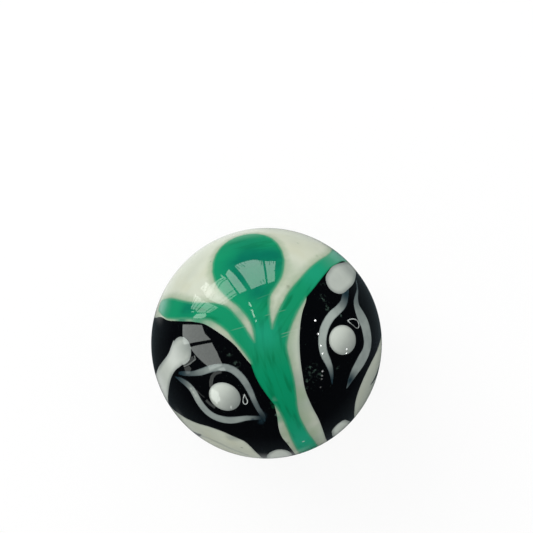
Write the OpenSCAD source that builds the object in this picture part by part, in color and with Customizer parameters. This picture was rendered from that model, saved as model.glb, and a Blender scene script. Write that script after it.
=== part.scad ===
// Glass marble: an opal white ball with green, black and white glass
// melted in flush with its surface, as one fused lump.
//
// The origin is the middle of the ball, and +Z runs up through the middle of
// its decorated face.  Places on the ball are given as [east, north] in
// degrees of arc from that middle: +X is east and +Y is north.  Widths and
// depths are in millimetres.

/* [Ball] */
// Diameter of the marble
ball_d = 35; // [22:0.5:50]
// Depth to which the green and black glass is melted in
field_depth = 1.5; // [1.1:0.1:2.5]
// Depth to which the white glass on the black is melted in
trail_depth = 0.8; // [0.4:0.05:1]

/* [Green figure] */
// Width of the stem at its waist
stem_w = 2.4; // [2:0.1:3.6]
// Width of the stem where the arms leave it
shoulder_w = 5.3; // [4:0.1:6.5]
// Width of the neck between the arms and the head
neck_w = 2.8; // [2:0.1:3.6]
// Width of the head
head_w = 10.7; // [8:0.1:12]
// Width of the left arm
left_arm_w = 2.5; // [1.6:0.1:3]
// Width of the right arm
right_arm_w = 2.5; // [1.6:0.1:3]

/* [Left eye] */
// Widest part of the upper trail
left_upper_trail_w = 1.1; // [0.5:0.05:1.4]
// Widest part of the lower trail
left_lower_trail_w = 1.4; // [0.6:0.05:1.8]
// Width of the dot from side to side
left_dot_w = 4.9; // [3:0.1:6]
// Height of the dot
left_dot_h = 4.6; // [3:0.1:5.5]

/* [Right eye] */
// Widest part of the inner trail
right_inner_trail_w = 1.4; // [0.6:0.05:1.7]
// Widest part of the outer trail
right_outer_trail_w = 2.5; // [1:0.1:3]
// Width of the dot from side to side
right_dot_w = 5.2; // [3:0.1:6]
// Height of the dot
right_dot_h = 4.3; // [3:0.1:5.5]

/* [White drops] */
// Diameter of the round head of the comma
comma_head_d = 4.1; // [3:0.1:5]
// Width of the comma's tail where it is widest
comma_tail_w = 4.6; // [3:0.1:5.5]
// Width of the drop beside the right arm
upper_drop_w = 4; // [2:0.1:4.5]
// Width of the drop at the foot of the left black field
bottom_drop_w = 4; // [2:0.1:4.5]
// Width of the drop at the foot of the right black field
lower_drop_w = 3.4; // [2:0.1:4]

/* [Black field of the back] */
// Width of the plain black field across the back
back_field_w = 9; // [5:0.5:12]

/* [Hidden] */
ball_r = ball_d / 2;
// The flares that cut out each colour reach from the middle to well outside
flare_r = ball_r * 1.6;
// Longest stretch of an outline between two corners, in degrees of arc
outline_step = 2;
// Narrowest end of a tapering trail
tip_w = 0.12;
// Turns of a rounded end, from its root to its tip
cap_turns = [15, 30, 45, 60, 73, 86];
oval_corners = 48;
// Turn of the ball about Z, which sets where the seam of its surface lies
seam_turn = -30;
$fn = 240;

// Centre lines: [east, north, width].

STEM_AND_HEAD = [
  [36, -92, 1.1 * stem_w], [32, -81, 1.18 * stem_w], [28.4, -72, 1.22 * stem_w],
  [24.2, -63, 1.22 * stem_w], [18.9, -52.3, 1.09 * stem_w], [15.9, -45.6, 1.03 * stem_w],
  [13.1, -38.8, stem_w], [10.9, -32.5, 1.15 * stem_w], [9.2, -27.8, 0.66 * shoulder_w],
  [6, -20, 0.88 * shoulder_w], [3, -12.7, shoulder_w], [0.8, -5, shoulder_w],
  [-0.2, -0.5, 1.3 * neck_w], [-1.2, 3.5, neck_w], [-1.9, 7.3, 0.96 * neck_w],
  [-2.8, 10.7, 1.02 * neck_w], [-3.8, 13.9, 1.17 * neck_w], [-4.9, 17, 1.43 * neck_w],
  [-6, 20.2, 0.45 * head_w], [-7, 23.7, 0.6 * head_w], [-7.8, 27.5, 0.75 * head_w],
  [-8.5, 31.7, 0.88 * head_w], [-9.2, 36.5, 0.96 * head_w], [-9.9, 42, head_w]
];

LEFT_ARM = [
  [-1.5, -10.5, 0.85 * left_arm_w], [-4.8, -6.2, 0.85 * left_arm_w],
  [-7.6, -2.2, 0.84 * left_arm_w], [-9.6, 0.3, 0.84 * left_arm_w],
  [-11.4, 2.7, 0.88 * left_arm_w], [-13.3, 5.3, 0.94 * left_arm_w],
  [-15.2, 7.8, 0.96 * left_arm_w], [-17.8, 10.5, 1.02 * left_arm_w],
  [-21.6, 13.6, 1.12 * left_arm_w], [-27, 15.6, left_arm_w],
  [-34, 16.3, 0.96 * left_arm_w], [-41, 17.2, left_arm_w], [-49, 18.6, 1.14 * left_arm_w],
  [-56, 20.3, 1.2 * left_arm_w], [-62, 22.1, 1.05 * left_arm_w],
  [-67, 24, 0.75 * left_arm_w]
];

RIGHT_ARM = [
  [6.6, -11, right_arm_w], [5.8, -5, right_arm_w], [5.3, -1, right_arm_w],
  [5.9, 3, right_arm_w], [7.2, 8, right_arm_w],
  [10.6, 16, right_arm_w], [15, 23.5, right_arm_w], [20.9, 30.8, 0.97 * right_arm_w],
  [26.9, 38.1, 0.9 * right_arm_w], [33.4, 44.9, 0.78 * right_arm_w],
  [38.9, 49.6, 0.75 * right_arm_w], [44.3, 54.9, 0.84 * right_arm_w],
  [50.2, 60.3, 1.07 * right_arm_w], [56, 67, 1.1 * right_arm_w], [61, 73, right_arm_w]
];

LEFT_UPPER_TRAIL = [
  [-47, -16.2, 0.41 * left_upper_trail_w], [-43, -16, 0.68 * left_upper_trail_w],
  [-38, -15.6, 0.68 * left_upper_trail_w], [-33, -14.5, 0.9 * left_upper_trail_w],
  [-28, -12.7, 0.97 * left_upper_trail_w], [-22, -11.5, 0.95 * left_upper_trail_w],
  [-17, -12.2, left_upper_trail_w], [-13.1, -14.9, left_upper_trail_w],
  [-10.2, -18.6, 0.95 * left_upper_trail_w], [-7.9, -23, 0.84 * left_upper_trail_w],
  [-6, -28, 0.73 * left_upper_trail_w], [-4, -32.5, 0.68 * left_upper_trail_w],
  [-1.8, -36.5, 0.64 * left_upper_trail_w], [-0.9, -40, tip_w]
];

LEFT_LOWER_TRAIL = [
  [-51, -18.6, tip_w], [-46.4, -20, 0.57 * left_lower_trail_w],
  [-42.4, -21.9, 0.79 * left_lower_trail_w], [-39.5, -24.4, 0.87 * left_lower_trail_w],
  [-37.4, -28.3, 0.91 * left_lower_trail_w], [-35, -32.9, 0.97 * left_lower_trail_w],
  [-31.4, -37.2, left_lower_trail_w], [-26.6, -39.8, left_lower_trail_w],
  [-21, -40.5, 0.97 * left_lower_trail_w], [-16, -39.8, 0.87 * left_lower_trail_w],
  [-11, -38.4, 0.7 * left_lower_trail_w], [-7, -37.9, 0.58 * left_lower_trail_w],
  [-2.5, -37.8, 0.48 * left_lower_trail_w]
];

RIGHT_INNER_TRAIL = [
  [44.2, 31, 0.8 * right_inner_trail_w], [42.6, 25.8, 0.87 * right_inner_trail_w],
  [40.7, 21.2, 0.88 * right_inner_trail_w], [37.3, 17.6, 0.9 * right_inner_trail_w],
  [33.5, 14.6, 0.94 * right_inner_trail_w], [30.5, 11.2, 0.97 * right_inner_trail_w],
  [28.3, 7.2, right_inner_trail_w], [27.2, 3, 0.97 * right_inner_trail_w],
  [27.2, -1.5, 0.94 * right_inner_trail_w], [28.3, -5.5, 0.9 * right_inner_trail_w],
  [30.3, -9.2, 0.79 * right_inner_trail_w], [32, -13, 0.61 * right_inner_trail_w],
  [33, -17, 0.37 * right_inner_trail_w], [33.5, -21, tip_w]
];

RIGHT_OUTER_TRAIL = [
  [55.5, 39, 0.1 * right_outer_trail_w], [54, 32, 0.16 * right_outer_trail_w],
  [51.5, 26.5, 0.3 * right_outer_trail_w], [50.4, 21.5, 0.57 * right_outer_trail_w],
  [52.7, 15.8, 0.9 * right_outer_trail_w], [56, 10.5, 0.98 * right_outer_trail_w],
  [57.6, 5, right_outer_trail_w], [58, 0, 0.92 * right_outer_trail_w],
  [56.3, -5, 0.85 * right_outer_trail_w], [52.2, -10.1, 0.86 * right_outer_trail_w],
  [48, -15.2, 0.7 * right_outer_trail_w], [45.1, -20.2, 0.42 * right_outer_trail_w],
  [43.3, -24.5, tip_w]
];

COMMA_TAIL = [
  [-45.8, -3.2, 0.95 * comma_head_d], [-48.9, -7, 0.74 * comma_tail_w],
  [-52.8, -10.6, 0.59 * comma_tail_w], [-58, -15.3, 0.64 * comma_tail_w],
  [-63, -20.5, 0.78 * comma_tail_w], [-69, -27.3, 0.9 * comma_tail_w],
  [-76, -34.5, comma_tail_w], [-84, -42, 0.96 * comma_tail_w]
];

UPPER_DROP = [
  [38.6, 33.7, 0.95 * upper_drop_w], [42.2, 37.4, upper_drop_w],
  [46.4, 41, 0.95 * upper_drop_w], [51.6, 45.8, 0.75 * upper_drop_w],
  [57, 50.8, 0.54 * upper_drop_w]
];

BOTTOM_DROP = [
  [8.6, -76, 0.94 * bottom_drop_w], [9.6, -84, bottom_drop_w],
  [10, -92, 0.94 * bottom_drop_w]
];

LOWER_DROP = [
  [46.3, -53, 0.85 * lower_drop_w], [49.6, -56.9, 0.98 * lower_drop_w],
  [53.1, -61, lower_drop_w], [58.3, -67.3, 0.95 * lower_drop_w]
];

// Centre line of the back field, as [east, north, width] from the middle of
// the back.
BACK_FIELD = [
  [-62.2, -86.8, tip_w], [-61.3, -80, 0.12 * back_field_w], [-59, -73, 0.22 * back_field_w],
  [-50, -57, 0.5 * back_field_w], [-30, -32, 0.85 * back_field_w], [2, -10, back_field_w],
  [38, -1, 0.92 * back_field_w], [66, 0, 0.62 * back_field_w],
  [84, -7, 0.32 * back_field_w], [95, -21, 0.17 * back_field_w], [100, -40, tip_w]
];

// Both edges of each black field, [east, north], paired from one end to the
// other.  Where a field meets the green it runs on under it, and is cut to it.

LEFT_FIELD_UPPER_EDGE = [
  [-104, -9], [-101, 2], [-94, 12], [-84, 17.5], [-72, 16.9], [-64, 15.9], [-56, 13],
  [-46, 11.8], [-37, 10.9], [-30, 9.2], [-22.5, 4.8], [-15.2, -0.6], [-9, -8],
  [-3, -15], [2.5, -26], [5.2, -36], [6.5, -45], [8.5, -51.5], [12.5, -59],
  [17, -69], [20.5, -79], [22.5, -90], [21, -99], [14, -105]
];
LEFT_FIELD_LOWER_EDGE = [
  [-104, -16], [-101, -28], [-95, -40], [-85, -46.5], [-77, -46.5], [-69, -44.5], [-61, -45.3],
  [-53, -46.4], [-46, -47.2], [-39, -47.5], [-33, -47.7], [-28, -48.6], [-23, -50.2],
  [-18, -52.7], [-12.8, -55.6], [-9.7, -60], [-7.7, -64.5], [-5.7, -69.5], [-4, -75],
  [-2.6, -82], [-2, -89], [-1.5, -95], [0, -100.5], [6, -105]
];

RIGHT_FIELD_INNER_EDGE = [
  [37, 49], [30, 41], [24, 33], [20.4, 26], [19.2, 20.5], [17.2, 15], [16, 9],
  [15.5, 2], [15.8, -6], [17, -14], [19, -23], [23.1, -32], [28.2, -41], [33, -51],
  [38, -61], [43.4, -70], [49, -79], [56, -87], [65, -90], [70, -88]
];
RIGHT_FIELD_OUTER_EDGE = [
  [51, 54], [62, 50], [72, 45.5], [82, 38], [89, 27], [91, 16], [85, 8],
  [77, 2.3], [69.6, -4.8], [63.2, -11], [58.5, -17], [55, -23.5], [53.3, -30],
  [53.6, -37], [56.5, -44.5], [61.3, -52], [67, -60], [73, -68], [76, -77], [74, -83]
];

// ---------------------------------------------------------------- curves

function unit(v) = v / norm(v);

// Place on the ball's face, [east, north] in degrees of arc, as a direction
function on_face(p) =
  let (arc = norm([p.x, p.y]))
  arc == 0 ? [0, 0, 1] : [sin(arc) * p.x / arc, sin(arc) * p.y / arc, cos(arc)];

// The same from the middle of the back
function on_back(p) = let (d = on_face(p)) [d.x, d.y, -d.z];

// Point between b and c of a smooth curve that passes through a, b, c and d
function curve_point(a, b, c, d, t) =
  (2 * b + (c - a) * t + (2 * a - 5 * b + 4 * c - d) * t * t
    + (3 * b - a - 3 * c + d) * t * t * t) / 2;

function before(list, i) = i > 0 ? list[i - 1] : 2 * list[0] - list[1];
function after(list, i) =
  let (last = len(list) - 1) i < last ? list[i + 1] : 2 * list[last] - list[last - 1];

// Number of straight stretches that stand for one span of one or two curves
function span_steps(list, other, i) =
  ceil(max(norm(list[i + 1] - list[i]), norm(other[i + 1] - other[i])) / outline_step);

// All points of the smooth curve through a list, in step with another list
function smooth(list, other) = concat(
  [for (i = [0:len(list) - 2])
    let (steps = span_steps(list, other, i))
    for (k = [0:steps - 1])
      curve_point(before(list, i), list[i], list[i + 1], after(list, i + 1), k / steps)],
  [list[len(list) - 1]]
);

function degrees_of(width) = width / ball_r * 180 / PI;

// Both edges, as directions, of a band that runs through the middle `at`
// in the direction `ahead`, at half its width in degrees
function edge_pair(at, ahead, half) =
  let (side = unit(cross(at, ahead)))
  [at * cos(half) + side * sin(half), at * cos(half) - side * sin(half)];

// Edge pairs of an end rounded over `half` degrees, drawn out by `stretch`
function cap_pairs(at, ahead, half, stretch) =
  let (onward = unit(ahead - at * (ahead * at)))
  [for (turn = cap_turns)
    let (reach = half * stretch * sin(turn),
         middle = at * cos(reach) + onward * sin(reach))
    edge_pair(middle, onward * cos(reach) - at * sin(reach), half * cos(turn))];

function reversed(list) = [for (i = [len(list) - 1:-1:0]) list[i]];
function swapped(pairs) = [for (p = pairs) [p[1], p[0]]];

// Edge pairs of a band along a centre line, on the face or on the back, with
// each end cut square (0) or rounded and drawn out by the given factor
function band_pairs(line, start_cap, end_cap, back) =
  let (rows = smooth(line, line),
       n = len(rows),
       at = [for (r = rows) back ? on_back(r) : on_face(r)],
       half = [for (r = rows) degrees_of(max(r.z, tip_w)) / 2],
       ahead = [for (i = [0:n - 1]) at[min(i + 1, n - 1)] - at[max(i - 1, 0)]],
       body = [for (i = [0:n - 1]) edge_pair(at[i], ahead[i], half[i])])
  concat(
    start_cap == 0 ? [] : reversed(swapped(cap_pairs(at[0], -ahead[0], half[0], start_cap))),
    body,
    end_cap == 0 ? [] : cap_pairs(at[n - 1], ahead[n - 1], half[n - 1], end_cap)
  );

// ---------------------------------------------------------------- flares

// Solid that flares out from the middle of the ball to beyond its surface,
// between the two edges that the pairs of directions give
module flare(pairs) {
  n = len(pairs);
  corners = [[0, 0, 0], for (p = pairs) each [p[0] * flare_r, p[1] * flare_r]];
  strips = [for (i = [0:n - 2]) let (a = 2 * i + 1, b = a + 2) each [
    [a, b, b + 1], [a, b + 1, a + 1], [0, b, a], [0, a + 1, b + 1]
  ]];
  polyhedron(corners, concat(strips, [[0, 1, 2], [0, 2 * n, 2 * n - 1]]));
}

module band(line, start_cap = 0, end_cap = 0, back = false)
  flare(band_pairs(line, start_cap, end_cap, back));

// Field between two edges; the first is on the left as one goes along it
module field(left_edge, right_edge) {
  left = smooth(left_edge, right_edge);
  right = smooth(right_edge, left_edge);
  flare([for (i = [0:len(left) - 1]) [on_face(left[i]), on_face(right[i])]]);
}

module oval(place, width, height) {
  at = on_face(place);
  east = unit(cross([0, 1, 0], at));
  north = cross(at, east);
  half_w = tan(degrees_of(width) / 2);
  half_h = tan(degrees_of(height) / 2);
  flare([for (k = [1:oval_corners / 2 - 1])
    let (turn = 360 * k / oval_corners,
         across = east * half_w * cos(turn),
         up = north * half_h * sin(turn))
    [unit(at - across + up), unit(at - across - up)]]);
}

module stem_and_head_flare() band(STEM_AND_HEAD, 1, 1.53);
module left_arm_flare() band(LEFT_ARM, 0, 1.5);
module right_arm_flare() band(RIGHT_ARM, 0, 1);
module left_field_flare() field(LEFT_FIELD_UPPER_EDGE, LEFT_FIELD_LOWER_EDGE);
module right_field_flare() field(RIGHT_FIELD_OUTER_EDGE, RIGHT_FIELD_INNER_EDGE);
module back_field_flare() band(BACK_FIELD, back = true);
module left_upper_trail_flare() band(LEFT_UPPER_TRAIL, 1, 0);
module left_lower_trail_flare() band(LEFT_LOWER_TRAIL);
module left_dot_flare() oval([-21, -26.8], left_dot_w, left_dot_h);
module right_inner_trail_flare() band(RIGHT_INNER_TRAIL);
module right_outer_trail_flare() band(RIGHT_OUTER_TRAIL);
module right_dot_flare() oval([39.2, 1.7], right_dot_w, right_dot_h);
module comma_tail_flare() band(COMMA_TAIL, 0, 1);
module comma_head_flare() oval([-45, -4], comma_head_d, comma_head_d);
module upper_drop_flare() band(UPPER_DROP, 1.25, 1);
module bottom_drop_flare() band(BOTTOM_DROP, 2, 1);
module lower_drop_flare() band(LOWER_DROP, 1.1, 1);

// ---------------------------------------------------------------- glass

module ball(depth = 0) rotate([0, 0, seam_turn]) sphere(r = ball_r - depth);

// Room cut from the surface down to a depth, for glass laid over this glass
module pocket(depth) difference() {
  children();
  ball(depth);
}

// Glass that fills a flare from the surface down to a depth
module inlay(depth) difference() {
  intersection() {
    ball();
    children();
  }
  ball(depth);
}

module opal_ball() color("#d9dccf") difference() {
  ball();
  pocket(field_depth) stem_and_head_flare();
  pocket(field_depth) left_arm_flare();
  pocket(field_depth) right_arm_flare();
  pocket(field_depth) left_field_flare();
  pocket(field_depth) right_field_flare();
  pocket(field_depth) back_field_flare();
  pocket(trail_depth) comma_tail_flare();
  pocket(trail_depth) upper_drop_flare();
}

module green_figure() color("#1a9168") difference() {
  union() {
    inlay(field_depth) stem_and_head_flare();
    inlay(field_depth) left_arm_flare();
    inlay(field_depth) right_arm_flare();
  }
  pocket(trail_depth) upper_drop_flare();
}

module black_field_left() color("#0b0f12") difference() {
  inlay(field_depth) left_field_flare();
  stem_and_head_flare();
  left_arm_flare();
  pocket(trail_depth) left_upper_trail_flare();
  pocket(trail_depth) left_lower_trail_flare();
  pocket(trail_depth) left_dot_flare();
  pocket(trail_depth) comma_tail_flare();
  pocket(trail_depth) comma_head_flare();
  pocket(trail_depth) bottom_drop_flare();
}

module black_field_right() color("#0b0f12") difference() {
  inlay(field_depth) right_field_flare();
  stem_and_head_flare();
  right_arm_flare();
  pocket(trail_depth) right_inner_trail_flare();
  pocket(trail_depth) right_outer_trail_flare();
  pocket(trail_depth) right_dot_flare();
  pocket(trail_depth) upper_drop_flare();
  pocket(trail_depth) lower_drop_flare();
}

module black_field_back() color("#0b0f12") inlay(field_depth) back_field_flare();

module left_eye_upper_trail() color("#8f9895") inlay(trail_depth) left_upper_trail_flare();

module left_eye_lower_trail() color("#8f9895") difference() {
  inlay(trail_depth) left_lower_trail_flare();
  left_upper_trail_flare();
}

module left_eye_dot() color("#c3c8c0") inlay(trail_depth) left_dot_flare();

module right_eye_inner_trail() color("#8f9895") difference() {
  inlay(trail_depth) right_inner_trail_flare();
  upper_drop_flare();
}

module right_eye_outer_trail() color("#8f9895") inlay(trail_depth) right_outer_trail_flare();

module right_eye_dot() color("#c3c8c0") inlay(trail_depth) right_dot_flare();

module white_comma() color("#c3c8c0") {
  inlay(trail_depth) comma_tail_flare();
  inlay(trail_depth) comma_head_flare();
}

module upper_drop() color("#c3c8c0") inlay(trail_depth) upper_drop_flare();

module bottom_drop() color("#c3c8c0") inlay(trail_depth) bottom_drop_flare();

module lower_drop() color("#c3c8c0") inlay(trail_depth) lower_drop_flare();

opal_ball();
green_figure();
black_field_left();
black_field_right();
black_field_back();
left_eye_upper_trail();
left_eye_lower_trail();
left_eye_dot();
right_eye_inner_trail();
right_eye_outer_trail();
right_eye_dot();
white_comma();
upper_drop();
bottom_drop();
lower_drop();
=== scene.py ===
"""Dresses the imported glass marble: each colour of glass gets a fine closed skin that
follows its solid's outline on the ball, and a glass of its own.

Places on the ball are [east, north] in degrees of arc from the middle of its
decorated face, +X being east and +Y north, as in the part's source.
"""

import math

import bpy
import numpy as np
from bpy.props import FloatProperty, FloatVectorProperty, PointerProperty
from bpy.types import Operator, Panel, PropertyGroup
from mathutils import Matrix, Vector, geometry
from mathutils.bvhtree import BVHTree
from mathutils.kdtree import KDTree


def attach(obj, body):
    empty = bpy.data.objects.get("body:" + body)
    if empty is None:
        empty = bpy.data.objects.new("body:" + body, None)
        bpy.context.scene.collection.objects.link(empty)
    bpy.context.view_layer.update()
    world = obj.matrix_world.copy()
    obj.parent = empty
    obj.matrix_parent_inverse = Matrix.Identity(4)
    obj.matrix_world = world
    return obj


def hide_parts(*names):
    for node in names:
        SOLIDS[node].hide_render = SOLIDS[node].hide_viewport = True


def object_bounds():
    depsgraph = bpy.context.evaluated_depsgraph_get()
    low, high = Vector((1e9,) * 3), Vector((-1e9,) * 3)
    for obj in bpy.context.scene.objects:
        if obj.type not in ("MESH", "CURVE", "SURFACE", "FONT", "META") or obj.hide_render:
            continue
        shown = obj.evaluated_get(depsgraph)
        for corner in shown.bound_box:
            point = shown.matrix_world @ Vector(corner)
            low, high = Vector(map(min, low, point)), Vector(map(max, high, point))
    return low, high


bl_info = {
    "name": "Glass Marble",
    "version": (1, 0, 0),
    "blender": (4, 5, 0),
    "location": "3D View > Sidebar > Marble",
    "description": "Lays the coloured glass, the bubbles and the stage of a decorated marble",
    "category": "Object",
}

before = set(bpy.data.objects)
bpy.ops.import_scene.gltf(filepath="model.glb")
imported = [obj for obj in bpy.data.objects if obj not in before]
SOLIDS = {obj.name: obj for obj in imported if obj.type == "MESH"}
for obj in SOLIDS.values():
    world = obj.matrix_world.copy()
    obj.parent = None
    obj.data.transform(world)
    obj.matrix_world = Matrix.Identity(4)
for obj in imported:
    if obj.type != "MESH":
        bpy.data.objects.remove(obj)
CAD_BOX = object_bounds()
MM = 0.001
RADIUS = round(max(v.co.length for v in SOLIDS["opal_ball"].data.vertices), 6)

# The glass that each colour is laid on.
BED = {
    "green_figure": "opal_ball",
    "black_field_left": "opal_ball",
    "black_field_right": "opal_ball",
    "black_field_back": "opal_ball",
    "left_eye_upper_trail": "black_field_left",
    "left_eye_lower_trail": "black_field_left",
    "left_eye_dot": "black_field_left",
    "white_comma": "black_field_left",
    "bottom_drop": "black_field_left",
    "right_eye_inner_trail": "black_field_right",
    "right_eye_outer_trail": "black_field_right",
    "right_eye_dot": "black_field_right",
    "upper_drop": "black_field_right",
    "lower_drop": "black_field_right",
}
BLACK = ("black_field_left", "black_field_right", "black_field_back")
TRAILS = (
    "left_eye_upper_trail", "left_eye_lower_trail",
    "right_eye_inner_trail", "right_eye_outer_trail",
)
DOTS = ("left_eye_dot", "right_eye_dot")
DROPS = ("white_comma", "upper_drop", "bottom_drop", "lower_drop")


# ---------------------------------------------------------------- sizes and colours


def length(name, description, default):
    """Property for a length."""
    return FloatProperty(name=name, description=description, default=default, unit="LENGTH")


class MarbleSkin(PropertyGroup):
    """How finely the glass is laid"""

    outline_step: length("Outline step", "Length of the stretches along each outline", 0.18 * MM)
    fine_step: length("Fine step", "Spacing of the skin's corners near an outline", 0.2 * MM)
    plain_step: length("Plain step", "Spacing of the skin's corners away from any outline", 0.5 * MM)
    fine_reach: length("Fine reach", "How far the fine spacing goes on both sides of an outline", 0.9 * MM)
    corner_turn: FloatProperty(
        name="Corner turn", description="Turn above which a corner of an outline stays sharp",
        default=math.radians(42), subtype="ANGLE",
    )
    bubble_line: length("Bubble line", "Width of the bright line round a bubble", 0.22 * MM)


def glass_colour(name, description, colour):
    """Property for the colour of a glass."""
    return FloatVectorProperty(
        name=name, description=description, default=colour, size=3, min=0, max=1, subtype="COLOR"
    )


class MarbleGlass(PropertyGroup):
    """Colours and polish of the glass"""

    ivory: glass_colour("Ivory", "Opal glass of the ball", (0.59, 0.63, 0.52))
    ivory_grey: glass_colour("Grey ivory", "Opal glass where it is thinner", (0.47, 0.51, 0.44))
    ivory_warm: glass_colour("Warm ivory", "Yellowish clouds in the opal glass", (0.55, 0.56, 0.41))
    # Grey opal for the fold lines and grey places, and painted shade beside the black.
    opal_grey_and_shade: glass_colour("Ivory by black", "Opal glass beside the black", (0.33, 0.37, 0.33))
    tan: glass_colour("Tan", "Stain of the green in the opal glass beside it", (0.31, 0.40, 0.27))
    green: glass_colour("Green", "Glass of the figure", (0.007, 0.265, 0.122))
    green_deep: glass_colour("Deep green", "Green of the head, where it is thick", (0.002, 0.15, 0.092))
    green_stem: glass_colour("Stem green", "Green of the stem", (0.003, 0.268, 0.122))
    green_light: glass_colour("Light green", "Green where it is thinner", (0.017, 0.36, 0.22))
    green_streak: glass_colour("Green streak", "Dark streaks drawn in the green", (0.001, 0.14, 0.05))
    green_thin: glass_colour("Thin green", "Green at its edge", (0.085, 0.31, 0.18))
    # Pale green, used mostly as a painted reflection towards the rim of the ball.
    green_pale_and_sheen: glass_colour("Pale green", "Green where it runs out to the back", (0.2, 0.5, 0.4))
    black: glass_colour("Black", "Glass of the fields", (0.0011, 0.0014, 0.002))
    fleck: glass_colour("Fleck", "Green flecks in the black", (0.055, 0.095, 0.075))
    trail: glass_colour("Trail", "White glass of the trails", (0.41, 0.465, 0.43))
    trail_thin: glass_colour("Thin trail", "White glass drawn out thin over the black", (0.012, 0.03, 0.04))
    white: glass_colour("White", "Glass of the dots and drops", (0.65, 0.7, 0.63))
    white_dense: glass_colour("Dense white", "Drops where they are thickest", (0.9, 0.95, 0.9))
    # Thin white also serves as painted shade on the sides of the dots and drops that face away from the
    # light.
    white_thin_and_shade: glass_colour("Thin white", "Dots and drops where they are thin", (0.22, 0.25, 0.235))
    scratch: glass_colour("Scratch", "Hairline scratches on the surface", (0.5, 0.55, 0.5))
    # The bubble's bright outline is a painted reflection off its wall.
    bubble: glass_colour("Bubble", "Bright outline of a bubble", (0.50, 0.54, 0.52))
    polish: FloatProperty(
        name="Polish", description="Roughness of the fire-polished surface",
        default=0.03, min=0, max=1, subtype="FACTOR",
    )


class MarbleStage(PropertyGroup):
    """Camera, floor and light"""

    camera_height: length("Camera height", "From the middle of the ball up to the lens", 0.25)
    disc_share: FloatProperty(
        name="Disc share", description="Share of the frame's width that the ball takes",
        default=0.433, min=0.05, max=1, subtype="FACTOR",
    )
    disc_drop: FloatProperty(
        name="Disc drop", description="Share of the frame by which the ball sits below the middle",
        default=0.144, min=0, max=0.3, subtype="FACTOR",
    )
    white: glass_colour("White", "Floor and room where the camera sees them", (1, 1, 1))
    room_light: glass_colour("Room light", "Even light from all round", (0.78, 0.78, 0.78))
    floor_bounce: glass_colour("Floor bounce", "Floor as it lights the ball", (0.85, 0.85, 0.85))
    daylight: glass_colour("Daylight", "Light of the window panes", (0.93, 1, 0.95))
    table_card: glass_colour("Table card", "Dark card that the glass mirrors below", (0.05, 0.066, 0.074))
    north_card: glass_colour(
        "North card", "Pale card that the glass mirrors on the window's side", (0.8, 0.83, 0.82)
    )
    room_card: glass_colour("Room card", "Dark dome that the glass mirrors above", (0.016, 0.018, 0.022))
    window_glow: FloatProperty(
        name="Window glow", description="Strength of the daylight in the window panes", default=4
    )
    lamp_glow: FloatProperty(
        name="Lamp glow", description="Strength of the small ceiling lamps", default=30
    )
    key_power: FloatProperty(
        name="Key power", description="Power of the soft lamp on the window's side",
        default=1.4, unit="POWER",
    )
    low_power: FloatProperty(
        name="Low power", description="Power of the soft lamp low behind the head of the figure",
        default=0.6, unit="POWER",
    )


class MarbleSettings(PropertyGroup):
    """Everything that can be changed about the marble"""

    skin: PointerProperty(type=MarbleSkin)
    glass: PointerProperty(type=MarbleGlass)
    stage: PointerProperty(type=MarbleStage)


def settings():
    return bpy.context.scene.marble


# ---------------------------------------------------------------- places on the ball


def place(east, north):
    """Direction of a place on the ball."""
    arc = math.hypot(east, north)
    if arc == 0:
        return Vector((0, 0, 1))
    rim = math.sin(math.radians(arc)) / arc
    return Vector((east * rim, north * rim, math.cos(math.radians(arc))))


def lengths(rows):
    return np.linalg.norm(rows, axis=1)


def unit_rows(rows):
    return rows / lengths(rows)[:, None]


def new_mesh(name, corners, faces):
    mesh = bpy.data.meshes.new(name)
    mesh.from_pydata(corners, [], faces)
    return mesh


def new_object(name, data):
    """Adds a mesh, a lamp or a camera to the scene."""
    made = bpy.data.objects.new(name, data)
    bpy.context.scene.collection.objects.link(made)
    return made


def tree_of(points):
    """Search tree of points."""
    tree = KDTree(len(points))
    for index, point in enumerate(points):
        tree.insert(point, index)
    tree.balance()
    return tree


# ---------------------------------------------------------------- outlines

SLACK = 0.0002  # of the radius, within which two outlines share a corner
LARGE_REGION = 60  # triangles, above which a region has to lie on one colour of glass
SURE_SHARE = 0.9  # of its triangles, at the least


def outer_face(solid):
    """Corners, as directions, and triangles of a solid's face on the ball's surface."""
    mesh = solid.data
    mesh.calc_loop_triangles()
    corners = np.empty(len(mesh.vertices) * 3)
    mesh.vertices.foreach_get("co", corners)
    triangles = np.empty(len(mesh.loop_triangles) * 3, int)
    mesh.loop_triangles.foreach_get("vertices", triangles)
    corners, welded = np.unique(corners.reshape(-1, 3) / RADIUS, axis=0, return_inverse=True)
    triangles = welded.reshape(-1)[triangles.reshape(-1, 3)]
    a, b, c = (corners[triangles[:, k]] for k in range(3))
    upright = np.cross(b - a, c - a)
    outward = (upright * (a + b + c)).sum(axis=1) > 1.5 * lengths(upright)
    on_surface = (lengths(corners)[triangles] > 1 - SLACK).all(axis=1)
    return corners, triangles[on_surface & outward]


def outline(corners, triangles):
    """Stretches of the outline of a face, as pairs of corner numbers."""
    sides = np.sort(triangles[:, [0, 1, 1, 2, 2, 0]].reshape(-1, 2), axis=1)
    sides, uses = np.unique(sides, axis=0, return_counts=True)
    return sides[uses == 1]


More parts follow.
